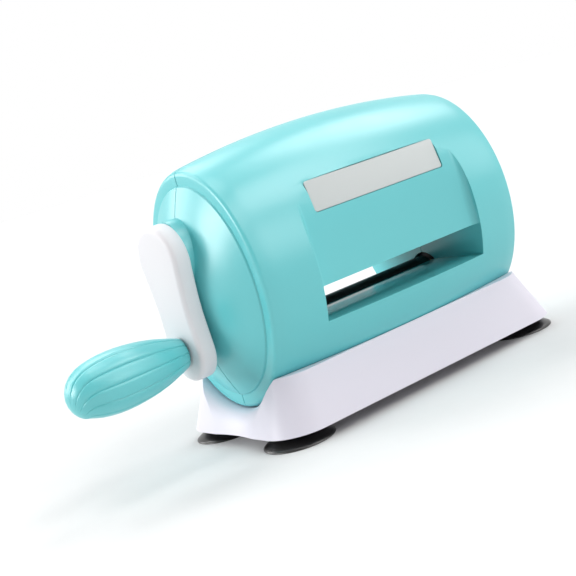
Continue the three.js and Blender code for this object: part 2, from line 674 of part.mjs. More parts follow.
const gearedEnd = gearX[1] + gap + clipThickness / 2;
const plainEnd = plateX[1] + bushFlange + gap + clipThickness / 2;
const shaftEnds = { upper: [gearedEnd, gearedEnd], lower: [plainEnd, gearedEnd] };
for (const [name, z] of [['upper', upperZ], ['lower', lowerZ]]) {
  const [left, right] = shaftEnds[name];
  const end = clipThickness / 2 + shaftEnd;
  place(`${name}_roller_shaft`, groovedShaft([-left - end, right + end], [-left, right], z), 'steel');
  place(`${name}_roller_sleeve`, sleeve(z), 'blackSleeve');
  place(`${name}_clip_left`, clip(-left, z), 'steel');
  place(`${name}_clip_right`, clip(right, z), 'steel');
}
place('drive_gear', gear(driveTeeth, driveModule, 0, -1, upperZ), 'gearSteel');
place('sync_gear_upper', gear(syncTeeth, syncModule, 0, 1, upperZ), 'gearSteel');
place('sync_gear_lower', gear(syncTeeth, syncModule, 0.5, 1, lowerZ), 'gearSteel');

place('crank_shaft', crankShaft(), 'steel');
place('crank_clip', clip(crankClipX, crankZ), 'steel');
place('crank_pinion', gear(pinionTeeth, driveModule, 0.5, -1, crankZ), 'gearSteel');
place('crank_arm', crankArm(), 'whitePlastic');
place('handle_bolt', handleBolt(), 'steel');
place('handle_grip', handleGrip(), 'tealPlastic');

shellScrewSpots.forEach((spot, i) => place(`shell_screw_${i + 1}`, shellScrew(spot), 'steel'));
frameScrewSpots.forEach((spot, i) => place(`frame_screw_${i + 1}`, frameScrew(spot), 'steel'));

export default machine;
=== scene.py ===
# %% [markdown]
# # A hand-cranked mini die cutting machine
# Two rollers hide in a teal barrel. Plates go in through a mouth at the front, and a crank on the left end
# turns the rollers. The barrel sits in a white base on four suction cups.
# The CAD frame is loaded first. The pieces inside keep their CAD shape and get better finishes. Every
# piece that shows is modelled again here, smoother, on the same body and in the same place.

# %% Load the frame
import json
import math

import bmesh
import bpy
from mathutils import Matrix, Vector


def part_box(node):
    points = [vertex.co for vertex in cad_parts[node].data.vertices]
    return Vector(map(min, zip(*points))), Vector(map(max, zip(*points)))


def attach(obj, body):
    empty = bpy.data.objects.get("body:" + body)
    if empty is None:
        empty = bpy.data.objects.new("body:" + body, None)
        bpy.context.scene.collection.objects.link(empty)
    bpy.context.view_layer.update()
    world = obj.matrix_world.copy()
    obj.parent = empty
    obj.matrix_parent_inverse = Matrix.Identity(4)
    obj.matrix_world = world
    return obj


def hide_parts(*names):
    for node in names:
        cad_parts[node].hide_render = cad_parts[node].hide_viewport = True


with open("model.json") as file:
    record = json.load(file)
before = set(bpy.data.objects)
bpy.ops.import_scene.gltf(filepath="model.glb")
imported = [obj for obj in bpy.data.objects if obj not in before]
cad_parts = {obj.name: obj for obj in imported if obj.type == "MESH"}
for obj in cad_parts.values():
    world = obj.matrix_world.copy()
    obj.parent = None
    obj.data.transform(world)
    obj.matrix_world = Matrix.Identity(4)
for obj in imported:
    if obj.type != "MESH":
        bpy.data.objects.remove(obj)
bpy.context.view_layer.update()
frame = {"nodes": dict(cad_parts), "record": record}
nodes = frame["nodes"]

# %% [markdown]
# ## Sizes
# All sizes are in millimetres until `MM` turns them into metres. The base is symmetrical, so the middle of
# its box is the middle of the machine, and every X below is counted from there.

# %% Main sizes
MM = 0.001
low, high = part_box("base_cradle")
MIDDLE_X = (low.x + high.x) / 2 / MM
BASE_BOTTOM, BASE_TOP = low.z / MM, high.z / MM

RIM_X, DOME_RISE, DOME_RADIUS, RIM_ROUND, BAND_STEP = 75.0, 11.6, 48.0, 2.4, 0.8
MIDDLE_HEIGHT, RIM_HEIGHT, DEPTH_RATIO = 61.4, 55.0, 0.8
AXIS_Z = 70.0
WALL, SEAM = 2.6, 0.22
SCREW_INSET, SCREW_RISE, POST_RADIUS, SCREW_SINK = 6.5, 34, 4.2, 3.3

TUNNEL, CHEEK = 48.0, 2.4
DECK_Z, CEILING_Z, REAR_LIP_Z = 46.0, 61.0, 38.5
PANEL_Y, PANEL_BEND_Z, PANEL_LEAN, PANEL_TOP_Z = 43.42, 80.0, 180.0, 112.0
PANEL_FILLET = 3.6

LOWER_Z, UPPER_Z, CRANK_Z, HANDLE_Z = 39.3, 65.3, 89.8, 49.4
ROLLER_HOLE, DECK_EDGE, BUSH_HOLE = 10.5, 8.4, 6.65
BOSS_REACH, BOSS_HEIGHT, BOSS_DEPTH = 12.6, 16.0, 12.8
print("middle of the machine at x =", round(MIDDLE_X, 2), "mm")

# %% [markdown]
# ## Small helpers
# An operator works on whatever is selected, so each helper starts from nothing selected. Faces and edges
# are chosen by a test on their place. Shapes are built about the machine's middle in millimetres, and
# `finish_piece` moves each to its place in metres, so that the finished object sits at the origin.

# %% Selecting
def only(piece):
    """Leaves this piece alone selected and active, in object mode."""
    if bpy.context.object and bpy.context.object.mode != "OBJECT":
        bpy.ops.object.mode_set(mode="OBJECT")
    bpy.ops.object.select_all(action="DESELECT")
    piece.select_set(True)
    bpy.context.view_layer.objects.active = piece


def pick(piece, kind, test):
    """In edit mode, selects the vertices, edges or faces for which test(centre, element) is true."""
    bpy.ops.mesh.select_mode(type=kind)
    bpy.ops.mesh.select_all(action="DESELECT")
    mesh = bmesh.from_edit_mesh(piece.data)
    parts = {"VERT": mesh.verts, "EDGE": mesh.edges, "FACE": mesh.faces}[kind]
    count = 0
    for part in parts:
        if kind == "VERT":
            centre = part.co
        elif kind == "EDGE":
            centre = (part.verts[0].co + part.verts[1].co) / 2
        else:
            centre = part.calc_center_median()
        if test(centre, part):
            part.select_set(True)
            count += 1
    bmesh.update_edit_mesh(piece.data)
    return count


# %% Starting shapes
def new_block(name, x, y, z):
    """A box between two values in X, Y and Z."""
    bpy.ops.mesh.primitive_cube_add(size=1, location=[(a + b) / 2 for a, b in (x, y, z)])
    block = bpy.context.object
    block.name = name
    block.scale = [b - a for a, b in (x, y, z)]
    bpy.ops.object.transform_apply(location=True, rotation=True, scale=True)
    return block


def new_rod(name, axis, span, radius, at, sides=48):
    """A cylinder along an axis, between two values on it, at a place in the other two axes."""
    middle, length = (span[0] + span[1]) / 2, span[1] - span[0]
    place = {"X": (middle, *at), "Y": (at[0], middle, at[1]), "Z": (*at, middle)}[axis]
    turn = {"X": (0, math.pi / 2, 0), "Y": (math.pi / 2, 0, 0), "Z": (0, 0, 0)}[axis]
    bpy.ops.mesh.primitive_cylinder_add(vertices=sides, radius=radius, depth=length, location=place,
                                        rotation=turn)
    rod = bpy.context.object
    rod.name = name
    bpy.ops.object.transform_apply(location=True, rotation=True, scale=True)
    return rod


def new_chain(name, points, closed=False):
    """A wire drawn by extruding one vertex from point to point."""
    bpy.ops.mesh.primitive_plane_add(size=1, location=points[0])
    wire = bpy.context.object
    wire.name = name
    bpy.ops.object.transform_apply(location=True, rotation=True, scale=True)
    bpy.ops.object.mode_set(mode="EDIT")
    bpy.ops.mesh.select_mode(type="VERT")
    bpy.ops.mesh.select_all(action="SELECT")
    bpy.ops.mesh.merge(type="CENTER")
    for before, after in zip(points, points[1:]):
        step = Vector(after) - Vector(before)
        bpy.ops.mesh.extrude_region_move(TRANSFORM_OT_translate={"value": step})
    if closed:
        bpy.ops.mesh.select_all(action="SELECT")
        bpy.ops.mesh.edge_face_add()
    bpy.ops.object.mode_set(mode="OBJECT")
    return wire


# %% Turning, drawing out and cutting
def new_turned(name, profile, z, steps=96, angle=2 * math.pi, slim=1.0):
    """A profile of (x, radius) spun about an axis along X at height z, then slimmed front to back."""
    piece = new_chain(name, [(x, 0, z + radius) for x, radius in profile])
    bpy.ops.object.mode_set(mode="EDIT")
    bpy.ops.mesh.select_all(action="SELECT")
    bpy.ops.mesh.spin(steps=steps, angle=angle, center=(0, 0, z), axis=(1, 0, 0))
    bpy.ops.mesh.select_all(action="SELECT")
    bpy.ops.mesh.remove_doubles(threshold=1e-4)
    bpy.ops.transform.resize(value=(1, slim, 1), center_override=(0, 0, z))
    bpy.ops.mesh.normals_make_consistent(inside=False)
    bpy.ops.object.mode_set(mode="OBJECT")
    return piece


def new_drawn(name, outline, span):
    """An outline in Y and Z drawn out along X between two values."""
    piece = new_chain(name, [(span[0], y, z) for y, z in outline], closed=True)
    bpy.ops.object.mode_set(mode="EDIT")
    bpy.ops.mesh.select_all(action="SELECT")
    bpy.ops.mesh.extrude_region_move(TRANSFORM_OT_translate={"value": (span[1] - span[0], 0, 0)})
    bpy.ops.mesh.select_all(action="SELECT")
    bpy.ops.mesh.normals_make_consistent(inside=False)
    bpy.ops.object.mode_set(mode="OBJECT")
    return piece


def combine(piece, tool, operation):
    """Cuts a tool from a piece, adds it, or keeps what both share. The tool is used up."""
    only(piece)
    modifier = piece.modifiers.new("combine", "BOOLEAN")
    modifier.operation, modifier.solver, modifier.object = operation, "EXACT", tool
    bpy.ops.object.modifier_apply(modifier=modifier.name)
    bpy.data.objects.remove(tool)
    return piece


def cut(piece, *tools):
    for tool in tools:
        combine(piece, tool, "DIFFERENCE")
    return piece


def add(piece, *tools):
    for tool in tools:
        combine(piece, tool, "UNION")
    return piece


def tidy(piece, threshold=0.02):
    """Merges the near-doubles that cutting leaves."""
    only(piece)
    bpy.ops.object.mode_set(mode="EDIT")
    bpy.ops.mesh.select_all(action="SELECT")
    bpy.ops.mesh.remove_doubles(threshold=threshold)
    bpy.ops.mesh.dissolve_degenerate(threshold=threshold)
    bpy.ops.object.mode_set(mode="OBJECT")
    return piece


SHARP_ANGLE = math.radians(25)


def round_edges(piece, width, segments, test):
    """Rounds the sharp edges that pass a test on their middle point."""
    only(piece)
    bpy.ops.object.mode_set(mode="EDIT")

    def sharp(centre, edge):
        return (len(edge.link_faces) == 2 and edge.calc_face_angle(0) > SHARP_ANGLE
                and test(centre, edge))

    count = pick(piece, "EDGE", sharp)
    if count:
        bpy.ops.mesh.bevel(offset=width, offset_type="OFFSET", segments=segments, profile=0.5,
                           clamp_overlap=True)
    bpy.ops.object.mode_set(mode="OBJECT")
    return count


# %% Handing a piece over
def finish_piece(piece, name, body, replaced, material, smooth=35):
    """Puts a piece in place in metres, smooths it, ties it to its body and hides the CAD parts it replaces.
    smooth is the angle in degrees above which an edge stays sharp."""
    only(piece)
    piece.name = piece.data.name = name
    piece.location.x = MIDDLE_X * MM
    piece.scale = (MM, MM, MM)
    bpy.ops.object.transform_apply(location=True, rotation=True, scale=True)
    bpy.ops.object.shade_smooth_by_angle(angle=math.radians(smooth))
    piece.data.materials.clear()
    piece.data.materials.append(material)
    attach(piece, body)
    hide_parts(*replaced)
    piece.data.calc_loop_triangles()
    print(name, "-", len(piece.data.loop_triangles), "triangles")


# %% [markdown]
# ## Finishes
# Every moulded piece shares two effects. `moulded_skin` gives a very fine satin texture and slow drifts in
# gloss and tone, as plastic has where it cooled unevenly in the mould. `fine_wear` gives the faint rubbed
# scratches that hands leave. Both are node groups that put out only masks and heights, so each material
# keeps its own shader and plain numbers.

# %% Node helpers
def new_group(name, outputs):
    """A node group with one input, a place on the surface, and the named masks as its outputs."""
    group = bpy.data.node_groups.new(name, "ShaderNodeTree")
    group.interface.new_socket("Vector", in_out="INPUT", socket_type="NodeSocketVector")
    for label in outputs:
        group.interface.new_socket(label, in_out="OUTPUT", socket_type="NodeSocketFloat")
    return group, group.nodes.new("NodeGroupInput"), group.nodes.new("NodeGroupOutput")


def noise(tree, vector, scale, detail, roughness=0.5, stretch=None):
    if stretch:
        mapping = tree.nodes.new("ShaderNodeMapping")
        mapping.inputs["Scale"].default_value = stretch
        tree.links.new(vector, mapping.inputs["Vector"])
        vector = mapping.outputs["Vector"]
    node = tree.nodes.new("ShaderNodeTexNoise")
    node.inputs["Scale"].default_value = scale
    node.inputs["Detail"].default_value = detail
    node.inputs["Roughness"].default_value = roughness
    tree.links.new(vector, node.inputs["Vector"])
    return node.outputs["Fac"]


def remap(tree, value, from_low, from_high, to_low=0.0, to_high=1.0):
    node = tree.nodes.new("ShaderNodeMapRange")
    for label, number in (("From Min", from_low), ("From Max", from_high), ("To Min", to_low),
                          ("To Max", to_high)):
        node.inputs[label].default_value = number
    tree.links.new(value, node.inputs["Value"])
    return node.outputs["Result"]


# %% Moulded skin
def make_moulded_skin():
    group, start, end = new_group("moulded_skin", ("Tone", "Gloss", "Height"))
    vector = start.outputs["Vector"]
    tone = remap(group, noise(group, vector, 14, 2), 0.1, 0.9)
    gloss = remap(group, noise(group, vector, 45, 4, 0.6), 0.1, 0.9)
    height = noise(group, vector, 1400, 2, 0.5)
    for value, label in ((tone, "Tone"), (gloss, "Gloss"), (height, "Height")):
        group.links.new(value, end.inputs[label])
    return group


# %% Fine wear
def make_fine_wear():
    group, start, end = new_group("fine_wear", ("Scratches",))
    vector = start.outputs["Vector"]
    lines = noise(group, vector, 240, 4, 0.6, stretch=(1, 18, 18))
    group.links.new(remap(group, lines, 0.45, 0.95), end.inputs["Scratches"])
    return group


moulded_skin, fine_wear = make_moulded_skin(), make_fine_wear()


# %% Plastic, rubber and metal
def mix_colors(tree, factor, first, second):
    node = tree.nodes.new("ShaderNodeMix")
    node.data_type = "RGBA"
    tree.links.new(factor, node.inputs["Factor"])
    for value, socket in ((first, node.inputs["A"]), (second, node.inputs["B"])):
        if isinstance(value, bpy.types.NodeSocket):
            tree.links.new(value, socket)
        else:
            socket.default_value = (*value, 1)
    return node.outputs["Result"]


FADE, SCRATCH_ROUGHNESS, RELIEF_DEPTH = 0.10, 0.05, 0.0002


def new_material(name, color, shade, roughness, metallic=0.0, bump=0.02, wear=0.25, ior=1.5):
    """A finish whose tone, gloss and surface all vary a little. roughness is a (low, high) pair."""
    material = bpy.data.materials.new(name)
    material.use_nodes = True
    tree = material.node_tree
    shader = tree.nodes["Principled BSDF"]
    place = tree.nodes.new("ShaderNodeTexCoord").outputs["Object"]
    skin, worn = tree.nodes.new("ShaderNodeGroup"), tree.nodes.new("ShaderNodeGroup")
    skin.node_tree, worn.node_tree = moulded_skin, fine_wear
    for node in (skin, worn):
        tree.links.new(place, node.inputs["Vector"])
    base = mix_colors(tree, skin.outputs["Tone"], color, shade)
    faded = [value + (1 - value) * FADE for value in color]
    wear_mask = remap(tree, worn.outputs["Scratches"], 0, 1, 0, wear)
    tree.links.new(mix_colors(tree, wear_mask, base, faded), shader.inputs["Base Color"])
    rough = remap(tree, skin.outputs["Gloss"], 0, 1, *roughness)
    extra = tree.nodes.new("ShaderNodeMath")
    extra.operation = "MULTIPLY_ADD"
    extra.inputs[1].default_value = SCRATCH_ROUGHNESS
    tree.links.new(worn.outputs["Scratches"], extra.inputs[0])
    tree.links.new(rough, extra.inputs[2])
    tree.links.new(extra.outputs[0], shader.inputs["Roughness"])
    relief = tree.nodes.new("ShaderNodeBump")
    relief.inputs["Strength"].default_value = bump
    relief.inputs["Distance"].default_value = RELIEF_DEPTH
    tree.links.new(skin.outputs["Height"], relief.inputs["Height"])
    tree.links.new(relief.outputs["Normal"], shader.inputs["Normal"])
    shader.inputs["Metallic"].default_value = metallic
    shader.inputs["IOR"].default_value = ior
    return material


teal = new_material("teal_moulding", (0.118, 0.560, 0.590), (0.128, 0.580, 0.607), (0.25, 0.36),
                    wear=0.08, ior=1.68)
teal_polished = new_material("teal_polished", (0.125, 0.545, 0.575), (0.135, 0.565, 0.590), (0.05, 0.08),
                             bump=0.0, wear=0.1, ior=2.7)
white = new_material("white_moulding", (0.73, 0.70, 0.79), (0.75, 0.72, 0.80), (0.36, 0.44))
arm_white = new_material("arm_white", (0.745, 0.735, 0.76), (0.765, 0.755, 0.78), (0.38, 0.46))
label_grey = new_material("label_grey", (0.60, 0.635, 0.63), (0.61, 0.645, 0.64), (0.50, 0.60))
rubber = new_material("cup_rubber", (0.004, 0.004, 0.004), (0.007, 0.007, 0.007), (0.24, 0.34))
roller_black = new_material("roller_black", (0.006, 0.008, 0.009), (0.010, 0.012, 0.013), (0.35, 0.45))
bronze = new_material("sintered_bronze", (0.45, 0.27, 0.11), (0.38, 0.23, 0.10), (0.35, 0.5), metallic=1)
bright_steel = new_material("bright_steel", (0.55, 0.56, 0.58), (0.48, 0.49, 0.51), (0.22, 0.35),
                            metallic=1)
gear_steel = new_material("gear_steel", (0.32, 0.33, 0.34), (0.26, 0.27, 0.28), (0.35, 0.5), metallic=1)
black_steel = new_material("black_oxide", (0.030, 0.031, 0.033), (0.022, 0.023, 0.025), (0.35, 0.5),
                           metallic=0.6)
zinc = new_material("zinc_plate", (0.62, 0.63, 0.66), (0.55, 0.56, 0.58), (0.28, 0.4), metallic=1)
print("finishes:", len(bpy.data.materials))

# %% [markdown]
# ## Barrel halves
# The housing is moulded as a front and a rear half that meet on a seam round the middle. A real mould is a
# turned hollow with cores for the mouth, so that is how it is made here: an outline of the whole barrel is
# spun a full turn and cut in two at the seam. Each half is hollowed with a slightly smaller one, and then
# the recess and the mouth are cut with blocks. The recess block's own edges are already rounded.

# %% Barrel outline
def half_height(x):
    """Half-height of the barrel at x: an arc that bulges in the middle."""
    bulge = MIDDLE_HEIGHT - RIM_HEIGHT
    arc = (RIM_X ** 2 + bulge ** 2) / (2 * bulge)
    return MIDDLE_HEIGHT - arc + math.sqrt(arc ** 2 - x ** 2)


def barrel_profile(grow, dome_steps=14, side_step=5.5):
    """(x, radius) from the left end to the right: dome, flat band, rounded rim, bulged side and back."""
    end = []
    for i in range(dome_steps + 1):
        t = i / dome_steps
        end.append((RIM_X + BAND_STEP + grow + DOME_RISE * (1 - t * t), (DOME_RADIUS + grow) * t))
    end.append((RIM_X + grow, DOME_RADIUS + grow + 0.5))
    corner_x, corner_r = RIM_X + grow - RIM_ROUND, RIM_HEIGHT + grow - RIM_ROUND
    for degrees in (0, 18, 36, 54, 72, 90):
        angle = math.radians(degrees)
        end.append((corner_x + RIM_ROUND * math.cos(angle), corner_r + RIM_ROUND * math.sin(angle)))
    reach = corner_x - 1.5
    count = int(2 * reach / side_step)
    places = [-reach + 2 * reach * i / count for i in range(count + 1)]
    middle = [(x, half_height(x) + grow) for x in places]
    return [(-x, r) for x, r in end] + middle + end[::-1]


def barrel_half(name, side, grow, steps):
    """One half of the barrel as a closed solid. side is -1 for the front and 1 for the rear."""
    slim = (RIM_HEIGHT * DEPTH_RATIO + grow) / (RIM_HEIGHT + grow)
    half = new_turned(name, barrel_profile(grow), AXIS_Z, steps, slim=slim)
    across = SEAM if grow == 0 else -3
    bpy.ops.object.mode_set(mode="EDIT")
    bpy.ops.mesh.select_all(action="SELECT")
    bpy.ops.mesh.bisect(plane_co=(0, side * across, 0), plane_no=(0, side, 0), clear_inner=True,
                        use_fill=True)
    bpy.ops.mesh.select_all(action="SELECT")
    bpy.ops.mesh.normals_make_consistent(inside=False)
    bpy.ops.object.mode_set(mode="OBJECT")
    return half


# %% Recess and mouth cutters
def panel_curve(back=0.0):
    """The recessed panel from the bend up, leaning back, as (distance from the seam, z)."""
    heights = [PANEL_BEND_Z + 4 * i for i in range(9)]
    return [(PANEL_Y - back - (z - PANEL_BEND_Z) ** 2 / PANEL_LEAN, z) for z in heights]


def recess_cutter(side, lip):
    far = PANEL_Y + 30
    outline = [(PANEL_Y, lip), *panel_curve(), (far, PANEL_TOP_Z), (far, lip)]
    cutter = new_drawn("recess", [(side * y, z) for y, z in outline], (-TUNNEL, TUNNEL))

    def panel_side(centre, edge):
        along_x = abs(edge.verts[0].co.x - edge.verts[1].co.x) > 1
        near = PANEL_Y - max(0, centre.z - PANEL_BEND_Z) ** 2 / PANEL_LEAN
        return not along_x and abs(abs(centre.y) - near) < 0.3 and centre.z > lip + 0.1

    bpy.ops.object.mode_set(mode="EDIT")
    pick(cutter, "EDGE", panel_side)
    bpy.ops.mesh.bevel(offset=PANEL_FILLET, segments=6, profile=0.5)
    bpy.ops.object.mode_set(mode="OBJECT")
    return cutter


def mouth_cutter(side):
    far, edge = PANEL_Y + 30, DECK_EDGE
    if side < 0:
        outline = [(4, CEILING_Z), (4, DECK_Z), (-far, DECK_Z), (-far, CEILING_Z)]
    else:
        slope = (DECK_Z - REAR_LIP_Z) / (PANEL_Y + 6 - edge)
        outline = [(-4, CEILING_Z), (-4, DECK_Z), (edge, DECK_Z), (far, DECK_Z - slope * (far - edge)),
                   (far, CEILING_Z)]
    return new_drawn("mouth", outline, (-TUNNEL, TUNNEL))


# %% [markdown]
# The hollow inside each half is the barrel again, smaller by the wall. Whatever should stay solid in it is
# taken out of the hollow first: the block round the tunnel, with the panel's back, and the two posts that
# the rear screws bite into. Cutting that hollow from the half then leaves every inner wall in one go, with
# no seams between the walls.

# %% Hollow
def screw_spots():
    return [(x, AXIS_Z + SCREW_RISE) for x in (-RIM_X + SCREW_INSET, RIM_X - SCREW_INSET)]


def make_hollow(side):
    lip = DECK_Z if side < 0 else REAR_LIP_Z
    far, edge = PANEL_Y + 30, DECK_EDGE
    slope = (DECK_Z - lip) / (PANEL_Y + 6 - edge)
    floor, roof = DECK_Z - CHEEK, CEILING_Z + CHEEK
    outline = [(-5, floor), (edge, floor), (far, floor - slope * (far - edge)), (far, PANEL_TOP_Z),
               *panel_curve(CHEEK)[::-1], (PANEL_Y - CHEEK, roof), (-5, roof)]
    tunnel = new_drawn("tunnel", [(side * y, z) for y, z in outline], (-TUNNEL - CHEEK, TUNNEL + CHEEK))
    hollow = cut(barrel_half("hollow", side, -WALL, 90), tunnel)
    for x, z in screw_spots():
        span = (SEAM, 60) if side > 0 else (-60, -SEAM)
        cut(hollow, new_rod("post", "Y", span, POST_RADIUS, (x, z), 32))
    return hollow


# %% One half of the housing
def make_half(side):
    far = 200
    half = barrel_half("front" if side < 0 else "rear", side, 0, 120)
    boss = new_rod("boss", "X", (-RIM_X - BOSS_REACH, -RIM_X - 2), BOSS_HEIGHT, (0, CRANK_Z), 96)
    boss.scale.y = BOSS_DEPTH / BOSS_HEIGHT
    bpy.ops.object.transform_apply(location=True, rotation=True, scale=True)
    kept = new_block("kept", (-far, 0), (-far, -SEAM) if side < 0 else (SEAM, far), (0, far))
    add(half, combine(boss, kept, "INTERSECT"))
    lip = DECK_Z if side < 0 else REAR_LIP_Z
    cut(half, make_hollow(side), recess_cutter(side, lip + 1), mouth_cutter(side),
        new_rod("bush_hole", "X", (-far, -RIM_X + WALL + 1), BUSH_HOLE, (0, CRANK_Z)))
    for z in (LOWER_Z, UPPER_Z):
        cut(half, new_rod("roller_hole", "X", (-51, 51), ROLLER_HOLE, (0, z), 64))
    if side > 0:
        for x, z in screw_spots():
            cut(half, new_rod("sink", "Y", (6, 60), SCREW_SINK, (x, z), 32))
    return half


front = tidy(make_half(-1))
rear = tidy(make_half(1))
print("front and rear halves cut")

# %% [markdown]
# The lips of the mouth and recess are slightly rounded in the mould, and so is the end of the boss that
# carries the crank. Only those edges are picked, by where they are, and bevelled.

# %% Rounding the halves
def on_skin(centre, slack=0.6):
    """Whether a point lies on the outer surface of the bulged side."""
    if abs(centre.x) > RIM_X:
        return False
    height = half_height(centre.x)
    value = math.hypot((centre.z - AXIS_Z) / height, centre.y / (height * DEPTH_RATIO))
    return abs(value - 1) * height < slack


def on_lip(centre, edge):
    return on_skin(centre) and abs(centre.x) < TUNNEL + 0.5 and abs(centre.y) > 30


def on_boss(centre, edge):
    return centre.x < -RIM_X - BOSS_REACH + 0.1 and abs(centre.y) > 0.2


for half in (front, rear):
    lips, boss = round_edges(half, 0.8, 4, on_lip), round_edges(half, 0.6, 3, on_boss)
    print("rounded", lips, "lip edges and", boss, "boss edges")

# %% [markdown]
# The plain grey plate lies in a shallow pocket, with its face a little below the panel's, so a thin dark
# gap shows round it. The same rounded block, grown by the gap, makes the pocket.

# %% Label pocket and plate
LABEL_HALF, LABEL_LOW, LABEL_HIGH, LABEL_TILT = 38.0, 91.5, 105.6, 0.2
LABEL_Y, LABEL_THICK, LABEL_GAP, LABEL_CORNER = 40.62, 0.7, 0.3, 1.2


def label_block(name, grow, out):
    """The plate, grown on every side but the outer, where it is drawn out by its own amount."""
    half, rise = LABEL_HALF + grow, (LABEL_HIGH - LABEL_LOW) / 2 + grow
    block = new_block(name, (-half, half), (-LABEL_THICK / 2 - out, LABEL_THICK / 2 + grow), (-rise, rise))
    bpy.ops.object.mode_set(mode="EDIT")
    pick(block, "EDGE", lambda c, e: abs(e.verts[0].co.y - e.verts[1].co.y) > 0.1)
    bpy.ops.mesh.bevel(offset=LABEL_CORNER + grow, segments=5, profile=0.5)
    bpy.ops.object.mode_set(mode="OBJECT")
    block.rotation_euler.x = -LABEL_TILT
    block.location = (0, -LABEL_Y, (LABEL_LOW + LABEL_HIGH) / 2)
    bpy.ops.object.transform_apply(location=True, rotation=True, scale=True)
    return block


cut(front, label_block("pocket", LABEL_GAP, 20))
label = label_block("label", 0, 0)
round_edges(label, 0.2, 2, lambda c, e: True)
finish_piece(label, "label", "housing", ["label_plate"], label_grey)

finish_piece(front, "housing_front", "housing", ["front_shell"], teal, 28)
finish_piece(rear, "housing_rear", "housing", ["rear_shell"], teal, 28)

# %% [markdown]
# Plates slide over the deck, so its mould was polished there, and it mirrors the rollers and the light at
# the back. The deck's faces are picked by place and get a second, glossier finish.

# %% Polished deck
def polish_deck(half):
    only(half)
    half.data.materials.append(teal_polished)
    half.active_material_index = 1
    bpy.ops.object.mode_set(mode="EDIT")
    count = pick(half, "FACE", lambda c, f: f.normal.z > 0.9 and abs(c.x / MM - MIDDLE_X) < TUNNEL
                 and REAR_LIP_Z - 0.5 < c.z / MM < DECK_Z + 0.1)
    bpy.ops.object.material_slot_assign()
    bpy.ops.object.mode_set(mode="OBJECT")
    print(half.name, "has", count, "polished faces")


polish_deck(front)
polish_deck(rear)

# %% [markdown]
# ## Base
# The base is a tapered tray with a trough for the barrel. The trough runs on past both rims and opens out,
# so each end shows a scooped saddle. A block is tapered and its corners rounded, and the trough is cut with
# a turned shape. Its ends flare until they run almost along the end walls, so each saddle rolls over softly.
# Then the new edges are rounded.

# %% Base blocks
BOTTOM_LENGTH, BOTTOM_DEPTH, TOP_LENGTH, TOP_DEPTH = 85.8, 46.8, 77.6, 37.6
CORNER, BASE_WALL = 19.0, 2.5


def tapered_block(name, inset, bottom, top):
    """A block with rounded corners that narrows towards the top, shrunk by inset all round."""
    def half_sizes(z):
        t = (z - BASE_BOTTOM) / (BASE_TOP - BASE_BOTTOM)
        return (BOTTOM_LENGTH + (TOP_LENGTH - BOTTOM_LENGTH) * t - inset,
                BOTTOM_DEPTH + (TOP_DEPTH - BOTTOM_DEPTH) * t - inset)

    length, depth = half_sizes(bottom)
    block = new_block(name, (-length, length), (-depth, depth), (bottom, top))
    bpy.ops.object.mode_set(mode="EDIT")
    pick(block, "EDGE", lambda c, e: abs(e.verts[0].co.z - e.verts[1].co.z) > 1)
    bpy.ops.mesh.bevel(offset=CORNER - inset, segments=12, profile=0.5)
    pick(block, "FACE", lambda c, f: f.normal.z > 0.9)
    top_length, top_depth = half_sizes(top)
    bpy.ops.transform.resize(value=(top_length / length, top_depth / depth, 1),
                             center_override=(0, 0, top))
    bpy.ops.object.mode_set(mode="OBJECT")
    return block


def trough_cutter(name, grow):
    flare = [(0, 0.1), (2, 0.4), (3.5, 0.9), (4.7, 1.6), (5.7, 2.4), (6.6, 3.4), (7.4, 4.5), (8.1, 5.7),
             (8.7, 6.9), (9.3, 8.3), (9.9, 9.7), (10.7, 11.5), (16, 11.9)]
    right = [(RIM_X + x, RIM_HEIGHT + r + grow) for x, r in flare]
    count = 26
    middle = [-RIM_X + 2 + (2 * RIM_X - 4) * i / count for i in range(count + 1)]
    side = [(x, half_height(x) + grow) for x in middle]
    profile = [(-RIM_X - 16, 0)] + [(-x, r) for x, r in right[::-1]] + side + right + [(RIM_X + 16, 0)]
    slim = (RIM_HEIGHT * DEPTH_RATIO + grow) / (RIM_HEIGHT + grow)
    return new_turned(name, profile, AXIS_Z, 120, slim=slim)


# %% Cut the base
CUP_SPOTS = [(name, x * 70.5, y * 29.0) for name, x, y in (
    ("front_left", -1, -1), ("front_right", 1, -1), ("rear_left", -1, 1), ("rear_right", 1, 1))]

base = tapered_block("base", 0, BASE_BOTTOM, BASE_TOP)
hollow = cut(tapered_block("hollow", BASE_WALL, BASE_BOTTOM - 1, BASE_TOP - BASE_WALL),
             trough_cutter("trough_wall", 0.3 + BASE_WALL))
cut(base, hollow, trough_cutter("trough", 0.3))
tidy(base)


def trough_rim(centre, edge):
    outer = [face for face in edge.link_faces if face.normal.z > 0.1 or abs(face.normal.z) < 0.5]
    return len(outer) == 2 and centre.z > BASE_BOTTOM + 2 and abs(centre.x) > RIM_X + 1


print("saddle edges rounded:", round_edges(base, 3.8, 8, trough_rim))
finish_piece(base, "base", "housing", ["base_cradle"], white, 32)

# %% [markdown]
# ## Suction cups
# Each foot is a turned rubber cup: a thin flared skirt, a hollow under it, a neck that passes through the
# base and a head that holds it there. One is made and copied to the other corners.

# %% Cups
CUP_PROFILE = [(2.6, 0), (2.5, 5), (1.9, 9.5), (0.9, 13), (0.15, 14.8), (0, 15.2), (0, 16.1), (0.15, 16.3),
               (0.5, 16.25), (1.2, 15.2), (2.2, 13.4), (3.3, 11.2), (4.4, 9.6), (5.2, 8.8), (5.4, 8.2),
               (5.4, 4), (8.5, 4), (8.6, 5.4), (9.4, 5.6), (10.5, 4.2), (10.9, 0)]


